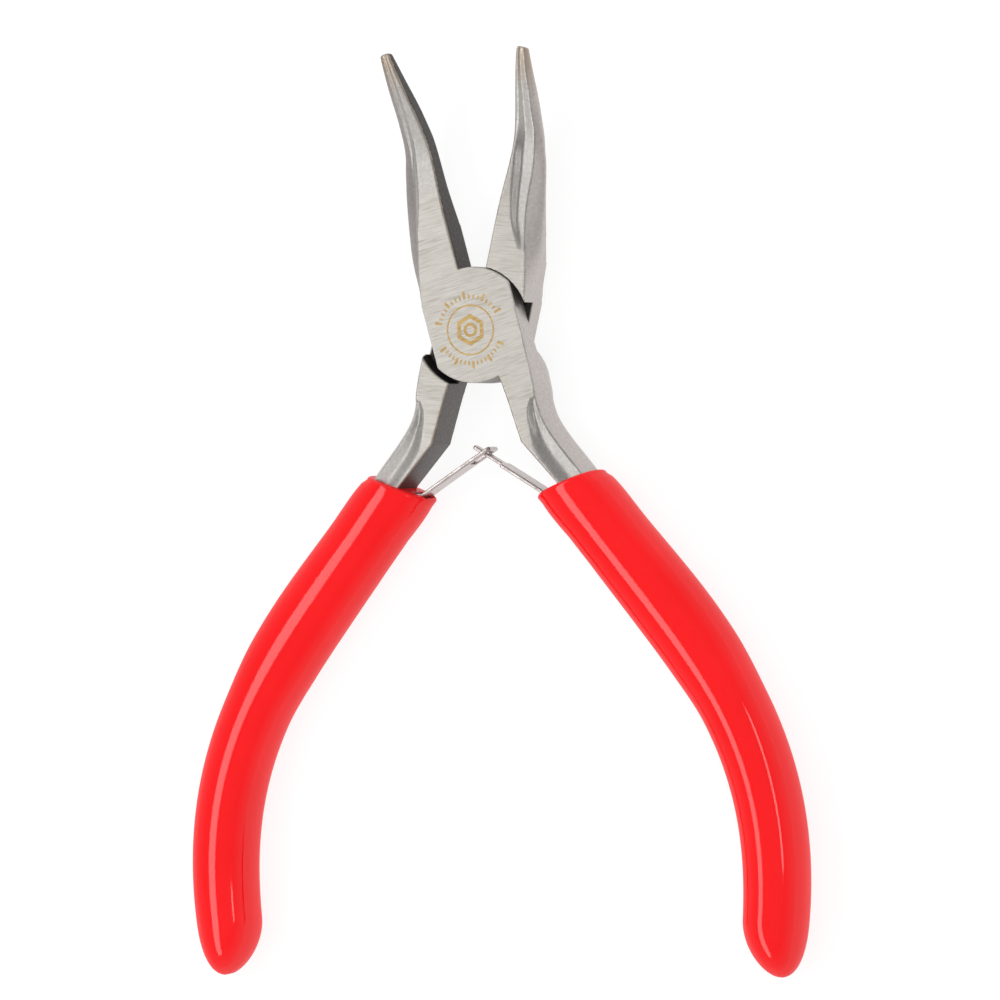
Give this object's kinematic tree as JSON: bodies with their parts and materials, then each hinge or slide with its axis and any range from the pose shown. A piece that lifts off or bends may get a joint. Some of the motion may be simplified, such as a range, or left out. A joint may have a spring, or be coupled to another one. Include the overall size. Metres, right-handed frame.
{
  "type": "bent needle nose pliers",
  "caption": "Mini bent needle nose pliers with a lap joint, crossed leaf springs that hold the handles open, and red dip-moulded grips.",
  "frame": {"origin": "on the rivet's axis at the ground back face of the head", "axes": "+Y along the jaws, +Z along the rivet towards the front face and the way the jaw tips bend, +X to the right of the front face; joint value 0 is the open pose in which the springs hold the levers"},
  "size_m": [0.0858, 0.1201, 0.0125],
  "materials": {
    "ground_steel": "ground faces with fine grinding lines, dark forged inner faces",
    "rivet_steel": "ground flush",
    "spring_steel": "polished spring strip",
    "red_vinyl": "glossy dip-moulded vinyl"
  },
  "bodies": {
    "front_half": {"front_lever": "ground_steel", "pivot_rivet": "rivet_steel", "right_spring_pin": "rivet_steel", "right_grip": "red_vinyl"},
    "back_half": {"back_lever": "ground_steel", "left_spring_pin": "rivet_steel", "left_grip": "red_vinyl"},
    "right_leaf": {"right_leaf_spring": "spring_steel"},
    "left_leaf": {"left_leaf_spring": "spring_steel"}
  },
  "joints": [
    {"name": "main_pivot", "type": "hinge", "parent": "front_half", "child": "back_half", "pos_m": [0, 0, 0], "axis": [0, 0, 1], "range_deg": [-2, 28], "stiffness_Nm_per_rad": 0.6},
    {"name": "right_leaf_pivot", "type": "hinge", "parent": "front_half", "child": "right_leaf", "pos_m": [0.00981, -0.0228, 0], "axis": [0, 0, 1], "range_deg": [-22.6, 1.8]},
    {"name": "left_leaf_pivot", "type": "hinge", "parent": "back_half", "child": "left_leaf", "pos_m": [-0.00981, -0.0228, 0], "axis": [0, 0, 1], "range_deg": [-1.8, 22.6]}
  ],
  "couplings": [
    {"joint": "right_leaf_pivot", "follows": "main_pivot", "ratio": -0.8},
    {"joint": "left_leaf_pivot", "follows": "main_pivot", "ratio": 0.8}
  ]
}
